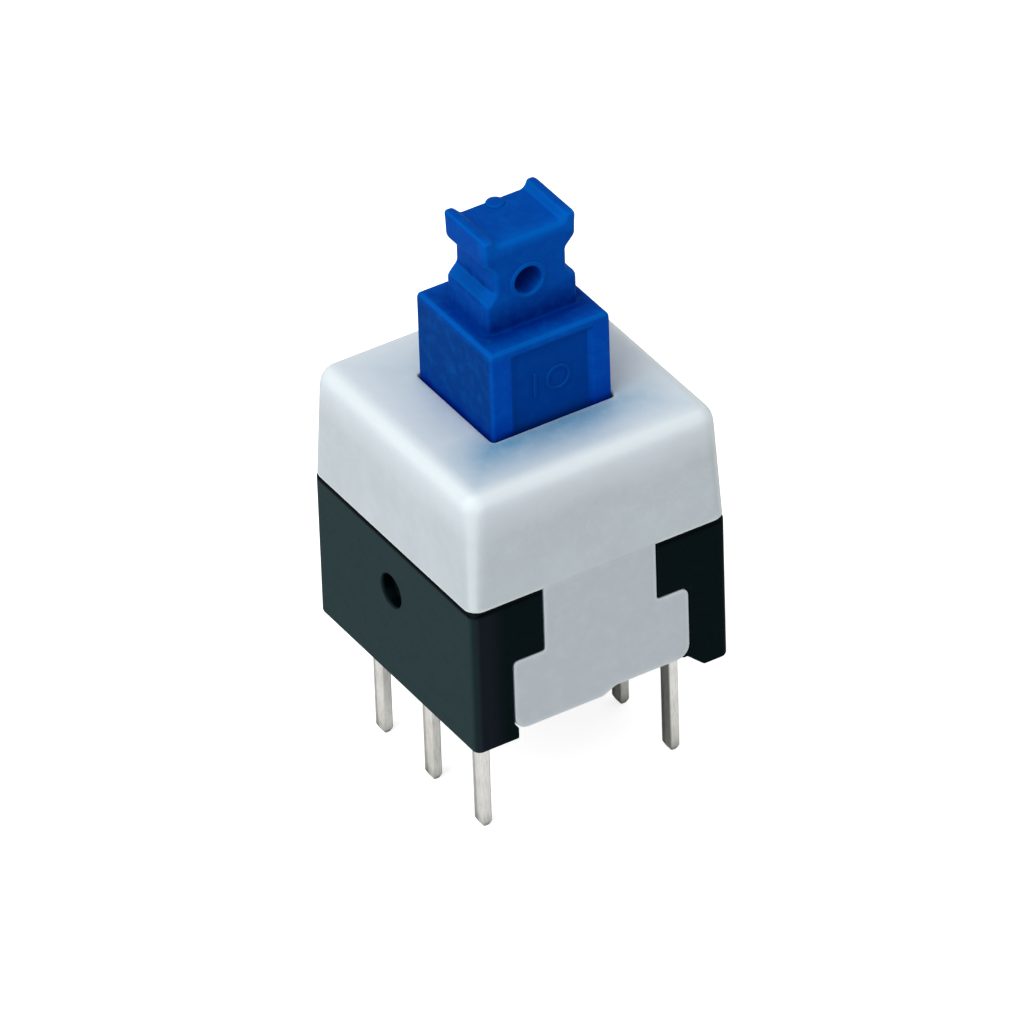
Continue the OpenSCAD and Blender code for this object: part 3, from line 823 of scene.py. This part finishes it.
def product(tree, *factors):
    """All the factors multiplied."""
    result = factors[0]
    for factor in factors[1:]:
        result = maths(tree, "MULTIPLY", result, factor)
    return result


def spread(tree, value, low, high, to_low=0.0, to_high=1.0, **settings):
    """Maps a value from one range to another, and clamps it."""
    return node(tree, "MapRange", {
        "Value": value, "From Min": low, "From Max": high, "To Min": to_low,
        "To Max": to_high}, **settings).outputs[0]


def in_millimetres(tree):
    """Place on the switch in millimetres, as a vector."""
    place = node(tree, "TexCoord").outputs["Object"]
    return node(tree, "VectorMath", {0: place, "Scale": 1 / MM}, operation="SCALE").outputs[0]


def noise(tree, place, size, detail, roughness=0.5):
    """Noise whose patches have a size in millimetres."""
    return node(tree, "TexNoise", {
        "Vector": place, "Scale": maths(tree, "DIVIDE", 1.0, size), "Detail": detail,
        "Roughness": roughness}).outputs[0]


def new_group(name, takes, gives):
    """Node group with named sockets: its tree, the values it takes and its output node."""
    tree = bpy.data.node_groups.new(name, "ShaderNodeTree")
    for label, value in takes.items():
        tree.interface.new_socket(
            name=label, in_out="INPUT", socket_type="NodeSocketFloat").default_value = value
    for label in gives:
        tree.interface.new_socket(name=label, in_out="OUTPUT", socket_type="NodeSocketFloat")
    taken = tree.nodes.new("NodeGroupInput").outputs if takes else None
    return tree, taken, tree.nodes.new("NodeGroupOutput")


def moulded_grain_group():
    """Fine spark-eroded grain of a mould and slow drifts of tone, from the place on the piece."""
    tree, takes, gives = new_group(
        "Moulded grain", {"Grain size": 0.06, "Drift size": 1.5}, ("Grain", "Drift"))
    place = in_millimetres(tree)
    fill(tree, gives, {"Grain": noise(tree, place, takes["Grain size"], 3.0, 0.6),
                       "Drift": noise(tree, place, takes["Drift size"], 2.0)})
    return tree


def crease_group():
    """Where dust and shadow gather: 1 in corners and grooves, 0 on open faces."""
    tree, takes, gives = new_group("Creases", {"Reach": 0.3 * MM}, ["Crease"])
    open_sky = node(tree, "AmbientOcclusion", {"Distance": takes["Reach"]}, samples=4)
    fill(tree, gives, {
        "Crease": maths(tree, "SUBTRACT", 1.0, open_sky.outputs["AO"], clamp=True)})
    return tree


def edge_highlight_mask():
    """Mask for painted highlights on edges: 1 on convex rounds, 0 on flat faces."""
    tree, takes, gives = new_group("Painted edge highlight", {"Radius": 0.08 * MM}, ["Edge"])
    rounded_normal = node(tree, "Bevel", {"Radius": takes["Radius"]}, samples=4).outputs[0]
    flat_normal = node(tree, "NewGeometry").outputs["True Normal"]
    facing = node(tree, "VectorMath", {0: rounded_normal, 1: flat_normal},
                  operation="DOT_PRODUCT").outputs["Value"]
    bent = maths(tree, "SUBTRACT", 1.0, facing, clamp=True)
    fill(tree, gives, {"Edge": maths(tree, "MULTIPLY", bent, 4.0, clamp=True)})
    return tree


def roll_group():
    """Mask for painted highlights: 1 where a square moulding rolls over from one face to the next, 0
    on its flat faces.
    """
    tree, takes, gives = new_group("Rolled edges", {"Slopes": 1.0, "Upright": 0.65}, ["Roll"])
    normal = node(tree, "TexCoord").outputs["Normal"]
    sides = node(tree, "VectorMath", {0: normal}, operation="ABSOLUTE").outputs[0]
    x, y, z = node(tree, "SeparateXYZ", {0: sides}).outputs
    flat = maths(tree, "MAXIMUM", maths(tree, "MAXIMUM", x, y), z)
    roll = spread(tree, flat, 0.998, 0.78, interpolation_type="SMOOTHSTEP")
    upper = spread(tree, z, 0.0, 0.4, takes["Upright"], 1.0)
    left_out = product(tree, spread(tree, flat, 0.8, 0.72), spread(tree, z, 0.3, 0.4),
                       maths(tree, "SUBTRACT", 1.0, takes["Slopes"]))
    kept = maths(tree, "SUBTRACT", 1.0, left_out)
    fill(tree, gives, {"Roll": product(tree, roll, kept, upper)})
    return tree


def place_group():
    """Place in millimetres: out from the middle, along X, its size either way, along Y, height."""
    names = ("Out", "Across", "Beside", "Along", "Height")
    tree, _, gives = new_group("Place on the switch", {}, names)
    x, y, z = node(tree, "SeparateXYZ", {0: in_millimetres(tree)}).outputs
    beside, back = maths(tree, "ABSOLUTE", x), maths(tree, "ABSOLUTE", y)
    out = maths(tree, "MAXIMUM", beside, back)
    fill(tree, gives, dict(zip(names, (out, x, beside, y, z))))
    return tree


def streak_group():
    """Marks of drawing and rolling: fine streaks along Z and soft blotches of plating."""
    tree, takes, gives = new_group(
        "Drawn metal", {"Streak width": 0.03, "Blotch size": 0.4}, ("Streaks", "Blotches"))
    place = node(tree, "TexCoord").outputs["Object"]
    stretched = node(tree, "VectorMath", {0: place, 1: (1 / MM, 1 / MM, 0.08 / MM)},
                     operation="MULTIPLY").outputs[0]
    fill(tree, gives, {
        "Streaks": noise(tree, stretched, takes["Streak width"], 2.0),
        "Blotches": noise(tree, in_millimetres(tree), takes["Blotch size"], 3.0)})
    return tree


GRAIN, CREASES, EDGES, ROLLS, PLACES, STREAKS = (
    moulded_grain_group(), crease_group(), edge_highlight_mask(), roll_group(), place_group(),
    streak_group())


def group(tree, which, **values):
    """A use of a node group, with values for its named inputs."""
    return node(tree, "Group", {k.replace("_", " "): v for k, v in values.items()},
                node_tree=which)


def mix(tree, factor, a, b):
    """One colour laid over another by a factor."""
    return node(tree, "Mix", {0: factor, 6: a, 7: b}, data_type="RGBA").outputs[2]


def over(tree, tone, colour, value, low, high, share):
    """A tone, with a colour laid over it up to a share as the value rises."""
    return mix(tree, spread(tree, value, low, high, 0.0, share), tone, colour)


def material(name):
    """New material, its node tree and its shader."""
    made = bpy.data.materials.new(name)
    made.use_nodes = True
    return made, made.node_tree, made.node_tree.nodes["Principled BSDF"]


def moulded(name, colour, crease_shade, pale, rough, grain_size, bump, specular, crease_reach=0.5,
            edge_radius=0.1, edge_gain=0.6, slopes=1.0, upright=0.65, crease_gain=0.85,
            speckle=0.35, soft_light=0.0, blotch=0.0, stains_and_painted_light=()):
    """Moulded plastic: painted shade in creases, painted highlight on edges, with grain and a slow
    drift.

    Each stain or painted light or shade is a colour and a function that makes its mask from the
    place and the drift.
    """
    made, tree, shader = material(name)
    grain = group(tree, GRAIN, Grain_size=grain_size, Drift_size=1.6)
    crease = group(tree, CREASES, Reach=crease_reach * MM)
    edge = group(tree, EDGES, Radius=edge_radius * MM)
    roll = group(tree, ROLLS, Slopes=slopes, Upright=upright)
    place = group(tree, PLACES)
    texture, drift = grain.outputs
    tone = over(tree, colour, [c * 0.93 for c in colour[:3]] + [1], drift, 0.3, 0.7, 1.0)
    tone = over(tree, tone, pale, texture, 0.45, 0.75, speckle)
    for overlay_colour, mask in stains_and_painted_light:
        tone = mix(tree, mask(tree, place.outputs, drift), tone, overlay_colour)
    patches = group(tree, GRAIN, Grain_size=0.35, Drift_size=0.8)
    tone = over(tree, tone, pale, patches.outputs["Grain"], 0.45, 0.75, blotch)
    # painted highlight on convex edges and rolled rims, laid on in the pale colour
    painted_highlight = maths(tree, "MAXIMUM", edge.outputs[0], roll.outputs[0])
    tone = over(tree, tone, pale, painted_highlight, 0.1, 0.9, edge_gain)
    # painted shade in creases and grooves
    tone = over(tree, tone, crease_shade, crease.outputs[0], 0.12, 0.75, crease_gain)
    relief = node(tree, "Bump", {"Height": texture, "Distance": bump * MM, "Strength": 0.6})
    fill(tree, shader, {
        "Base Color": tone, "Normal": relief.outputs[0], "Specular IOR Level": specular,
        "Roughness": spread(tree, texture, 0.3, 0.7, rough - 0.06, rough + 0.06)})
    if soft_light:
        fill(tree, shader, {
            "Subsurface Weight": soft_light, "Subsurface Radius": (1.0, 1.0, 1.2),
            "Subsurface Scale": 0.45 * MM})
    return made


def metal(name, colour, dull, rough, streak_width, reach=0.3, shade=0.6, stains_and_painted_light=()):
    """Bare or plated metal with streaks and blotches, shaded where other pieces are near."""
    made, tree, shader = material(name)
    marks = group(tree, STREAKS, Streak_width=streak_width, Blotch_size=0.5)
    crease = group(tree, CREASES, Reach=reach * MM)
    streaks, blotches = marks.outputs
    tone = over(tree, colour, dull, blotches, 0.4, 0.7, 0.8)
    tone = over(tree, tone, [c * 0.7 for c in dull[:3]] + [1], streaks, 0.5, 0.75, 0.7)
    tone = over(tree, tone, [c * 0.3 for c in dull[:3]] + [1], crease.outputs[0], 0.15, 0.8, shade)
    place = group(tree, PLACES)
    for overlay_colour, mask in stains_and_painted_light:
        tone = mix(tree, mask(tree, place.outputs, blotches), tone, overlay_colour)
    relief = node(tree, "Bump", {"Height": streaks, "Distance": 0.004 * MM, "Strength": 0.5})
    fill(tree, shader, {
        "Base Color": tone, "Normal": relief.outputs[0], "Metallic": 1.0,
        "Roughness": spread(tree, streaks, 0.3, 0.7, rough - 0.08, rough + 0.1)})
    return made


def paint(piece, finish):
    """Gives the piece one material."""
    piece.data.materials.clear()
    piece.data.materials.append(finish)


def zone(*ramps):
    """Mask by place: ramps multiplied, each a measure, its start and end, and the values there."""
    def mask(tree, place, drift):
        return product(tree, *(spread(tree, drift if measure == "Drift" else place[measure], *ramp)
                               for measure, *ramp in ramps))
    return mask


# On the pins: darker towards the tips, and a painted dark reflection on the sides that face the
# middle of the switch
pin_tip = zone(("Height", PIN_LOW + 0.05, PIN_LOW + 0.4, 0.55, 0.0))


def inner_side_reflection(tree, place, drift):
    """Painted dark reflection on the sides of the pins that face the middle of the switch."""
    normal = node(tree, "TexCoord").outputs["Normal"]
    across = node(tree, "SeparateXYZ", {0: normal}).outputs[0]
    inwards = product(tree, across, product(tree, place["Across"], -1.0))
    below = spread(tree, place["Height"], PIN_LOW, PIN_LOW + 0.5, 0.8, 1.0)
    return product(tree, spread(tree, inwards, 0.3, 2.4, 0.0, 0.75), below)


# On the cover: painted blue reflection and painted shade of the plunger round its hole, strongest in
# front of it
plunger_reflection_and_shade = zone(
    ("Out", HOLE_HALF, HOLE_HALF + 1.75, 1.0, 0.0), ("Height", TOP_Z - 0.15, TOP_Z - 0.02),
    ("Along", -HOLE_HALF - 0.3, -HOLE_HALF + 0.7, 1.0, 0.28), ("Across", 0.6, 2.2, 1.0, 0.6),
    ("Drift", 0.3, 0.7, 0.85, 1.0))
# painted light, a paler tone towards the top of its skirt
upper_skirt_light = zone(("Height", SEAM_Z + 2.1, TOP_Z - 0.3, 0.0, 0.7))
# painted shade, dark on the wall of the plunger's hole
hole_wall_shade = zone(("Out", HOLE_HALF + 0.01, HOLE_HALF + 0.05, 1.0, 0.0),
                 ("Height", TOP_Z - HOLE_RIM, TOP_Z - 0.02, 1.0, 0.0))
# greyer tone of the tongues
tongue_tone = zone(("Height", SEAM_Z - 0.12, SEAM_Z, 1.0, 0.0))
# painted highlight, a pale line along the rolled lip, but not above the tongues
lip_highlight = zone(("Height", SEAM_Z - 0.01, SEAM_Z),
                ("Height", SEAM_Z + 0.05, SEAM_Z + 0.1, 0.7, 0.0),
                ("Beside", NECK_HALF, NECK_HALF + 0.1))

# On the base: painted shadow, a dark line under the cover's lip
lip_shadow = zone(("Height", SEAM_Z - 0.2, SEAM_Z - 0.11))
# painted light, a paler tone on its -X wall and on the corners next to it
left_wall_light = zone(("Across", -BASE_HALF, -BASE_HALF + BASE_CORNER, 1.0, 0.0))
left_corner_light = zone(("Across", -BASE_HALF + 0.5, -BASE_HALF + 1.0, 1.0, 0.0))


def side_hole_shade(tree, place, drift):
    """Painted shade inside the blind hole in that wall, and not on the wall across from it."""
    y, z, r = SIDE_HOLE
    off = node(tree, "CombineXYZ", {0: maths(tree, "SUBTRACT", place["Along"], y),
                                    1: maths(tree, "SUBTRACT", place["Height"], z)})
    away = node(tree, "VectorMath", {0: off.outputs[0]}, operation="LENGTH").outputs["Value"]
    near_wall = spread(tree, place["Across"], -2.0, -1.0, 1.0, 0.0)
    return product(tree, near_wall, spread(tree, away, r, r + 0.03, 1.0, 0.0),
                   spread(tree, place["Across"], -BASE_HALF + 0.02, -BASE_HALF + 0.12))


def waist_shade(tree, place, drift):
    """Lower slopes of the head's waist, between its two ends."""
    bottom, top = WAIST_Z, WAIST_Z + SLOPE_H
    ends = spread(tree, maths(tree, "ABSOLUTE", place["Along"]),
                  HEAD_HALF[1] - 0.55, HEAD_HALF[1] - 0.1, 1.0, 0.0)
    slopes = zone(("Height", bottom - 0.1, bottom + 0.12, 0.0, 0.9),
                  ("Height", top - 0.05, top + 0.25, 1.0, 0.0),
                  ("Beside", WAIST_HALF - 0.08, WAIST_HALF - 0.03))
    return product(tree, slopes(tree, place, drift), ends)


def foot_shade(tree, place, drift):
    """Shoulder round the head's foot, and the foot's own sides above it."""
    outward = maths(tree, "MAXIMUM", maths(tree, "SUBTRACT", place["Beside"], HEAD_HALF[0]),
                    maths(tree, "SUBTRACT", maths(tree, "ABSOLUTE", place["Along"]), HEAD_HALF[1]))
    near = spread(tree, outward, 0.0, 0.65, 1.0, 0.0)
    above = spread(tree, place["Height"], SHOULDER_Z, SHOULDER_Z + 0.95, 1.0, 0.0)
    below = spread(tree, place["Height"], SHOULDER_Z - 0.12, SHOULDER_Z - 0.02)
    front = spread(tree, place["Along"], -HEAD_HALF[1], -HEAD_HALF[1] + 0.3, 1.0, 0.6)
    return product(tree, near, above, below, front)


# Also on the plunger: painted highlight on the upper front edge of the head
brow_highlight = zone(("Along", -HEAD_HALF[1] + 0.1, -HEAD_HALF[1] + 0.45, 0.6, 0.0),
            ("Height", CHANNEL_Z - 0.4, CHANNEL_Z - 0.15))
# painted shade, darker on the block towards the cover, and a painted shadow line where it leaves the
# hole
low_block_shade = zone(("Height", TOP_Z, SHOULDER_Z, 0.8, 0.0))
block_foot_shadow = zone(("Height", TOP_Z + 0.02, TOP_Z + 0.16, 0.75, 0.0))
# painted shade on the -X side of the block, and painted light on its front strips beside the panel
under_shoulder = ("Height", SHOULDER_Z - 0.3, SHOULDER_Z - 0.1, 1.0, 0.0)
block_left_shade = zone(("Across", -BLOCK_HALF + 0.02, -BLOCK_HALF + 0.12, 1.0, 0.0), under_shoulder)
block_front_light = zone(("Along", -BLOCK_HALF + 0.02, -BLOCK_HALF + 0.12, 1.0, 0.0), under_shoulder)

milky_white = moulded(
    "Milky white nylon", (0.545, 0.61, 0.645, 1), (0.34, 0.42, 0.53, 1), (0.76, 0.84, 0.86, 1),
    rough=0.42, grain_size=0.07, bump=0.006, specular=0.4, crease_reach=0.25, edge_radius=0.25,
    edge_gain=0.6, crease_gain=0.7, speckle=0.12, soft_light=0.3, blotch=0.12,
    stains_and_painted_light=[((0.74, 0.81, 0.86, 1), upper_skirt_light), ((0.0, 0.225, 0.43, 1), plunger_reflection_and_shade),
            ((0.50, 0.555, 0.595, 1), tongue_tone), ((0.01, 0.03, 0.10, 1), hole_wall_shade),
            ((0.85, 0.93, 0.97, 1), lip_highlight)])
graphite_black = moulded(
    "Graphite black nylon", (0.0006, 0.005, 0.006, 1), (0.0, 0.001, 0.002, 1),
    (0.005, 0.012, 0.014, 1), rough=0.55, grain_size=0.08, bump=0.005, specular=0.02,
    crease_reach=0.8, speckle=0.3, blotch=0.1,
    stains_and_painted_light=[((0.007, 0.010, 0.016, 1), left_corner_light), ((0.020, 0.040, 0.044, 1), left_wall_light),
            ((0.0, 0.002, 0.004, 1), side_hole_shade), ((0.0, 0.001, 0.002, 1), lip_shadow)])
signal_blue = moulded(
    "Signal blue acetal", (0.0, 0.061, 0.375, 1), (0.0, 0.012, 0.26, 1), (0.0, 0.12, 0.50, 1),
    rough=0.55, grain_size=0.09, bump=0.004, specular=0.012, crease_reach=0.8, edge_radius=0.2,
    edge_gain=0.6, slopes=0.7, upright=0.35, speckle=0.12, blotch=0.3,
    stains_and_painted_light=[((0.0, 0.047, 0.29, 1), low_block_shade), ((0.0, 0.041, 0.235, 1), block_left_shade),
            ((0.0, 0.058, 0.41, 1), block_front_light), ((0.0, 0.10, 0.50, 1), brow_highlight),
            ((0.0, 0.016, 0.165, 1), foot_shade), ((0.0, 0.010, 0.14, 1), waist_shade),
            ((0.0, 0.008, 0.08, 1), block_foot_shadow)])
panel_blue = moulded(
    "Spark eroded blue panel", (0.0, 0.045, 0.30, 1), (0.0, 0.014, 0.16, 1), (0.0, 0.08, 0.38, 1),
    rough=0.75, grain_size=0.05, bump=0.005, specular=0.012, crease_reach=0.3, speckle=0.2,
    blotch=0.25)
tin = metal(
    "Dull tin plating", (0.98, 0.97, 0.93, 1), (0.84, 0.83, 0.77, 1), rough=0.36, streak_width=0.03,
    reach=1.2, shade=0.7,
    stains_and_painted_light=[((0.14, 0.145, 0.13, 1), inner_side_reflection), ((0.3, 0.3, 0.28, 1), pin_tip)])
steel = metal("Drawn spring steel", (0.6, 0.61, 0.63, 1), (0.42, 0.43, 0.45, 1), 0.25, 0.02)
bronze = metal("Rolled contact bronze", (0.78, 0.6, 0.3, 1), (0.55, 0.4, 0.2, 1), 0.28, 0.025)

paint(cover, milky_white)
paint(base, graphite_black)
paint(plunger, signal_blue)
plunger.data.materials.append(panel_blue)
for face in plunger.data.polygons:
    middle = face.center / MM
    on_panel = PANEL_X[0] < middle.x < PANEL_X[1] and ROOF_Z < middle.z < PANEL_TOP + 0.02
    if on_panel and middle.y < PANEL_DEPTH - BLOCK_HALF + 0.02 and middle.y < 0:
        face.material_index = 1
for piece in terminals:
    paint(piece, tin)
for piece in (spring, latch):
    paint(piece, steel)
for piece in contacts:
    for place in piece.material_slots:
        place.material = bronze

# ---- studio
FLOOR_SIZE = 500
FLOOR_GLOW = 0.72       # light that the eye sees in the floor beside what it reflects
AMBIENT = 0.5           # light from all round
LAMP_DISTANCE = 0.3     # in metres


def make_floor():
    """Pale plain floor. To the eye it is white, and it keeps the soft shadow under the pins."""
    mesh = bmesh.new()
    sides = 48
    rows = [[mesh.verts.new(Vector((r * math.cos(a), r * math.sin(a), PIN_LOW)) * MM)
             for a in circle(sides)] for r in (FLOOR_SIZE, 60, 15, 2)]
    for a, b in zip(rows, rows[1:]):
        for i in range(sides):
            j = (i + 1) % sides
            mesh.faces.new((a[i], a[j], b[j], b[i]))
    mesh.faces.new(rows[-1])
    floor = finished(mesh, "studio_floor")
    made, tree, shader = material("Pale matt floor")
    grain = group(tree, GRAIN, Grain_size=2.0, Drift_size=40.0)
    tone = mix(tree, grain.outputs["Drift"], (0.8, 0.8, 0.8, 1), (0.82, 0.82, 0.82, 1))
    eye = node(tree, "LightPath").outputs["Is Camera Ray"]
    glow = mix(tree, product(tree, eye, FLOOR_GLOW), (0, 0, 0, 1), (1, 1, 1, 1))
    fill(tree, shader, {"Base Color": tone, "Roughness": 0.9, "Specular IOR Level": 0.1,
                        "Emission Color": glow, "Emission Strength": 1.0})
    paint(floor, made)
    return floor


def make_world():
    """Even light from all round, and plain white where the eye or a gloss sees past the floor."""
    world = bpy.data.worlds.new("White studio")
    bpy.context.scene.world = world
    world.use_nodes = True
    tree = world.node_tree
    path = node(tree, "LightPath")
    seen = maths(tree, "MAXIMUM", path.outputs["Is Camera Ray"], maths(
        tree, "MAXIMUM", path.outputs["Is Glossy Ray"], path.outputs["Is Transmission Ray"]))
    fill(tree, tree.nodes["Background"], {
        "Color": (1, 1, 1, 1), "Strength": spread(tree, seen, 0.0, 1.0, AMBIENT, 1.0)})


def sun(name, azimuth, elevation, strength, softness):
    """Distant lamp at angles in degrees."""
    data = bpy.data.lights.new(name, "SUN")
    data.energy = strength
    data.angle = math.radians(softness)
    back = direction(math.radians(azimuth), math.radians(elevation))
    turn = back.to_track_quat("Z", "Y").to_matrix().to_4x4()
    in_scene(name, data).matrix_world = Matrix.Translation(back * LAMP_DISTANCE) @ turn


make_floor()
make_world()
sun("key_lamp", -76, 48, 1.65, 50)
sun("fill_lamp", -20, 55, 0.31, 80)

bpy.context.scene.view_settings.view_transform = "Standard"
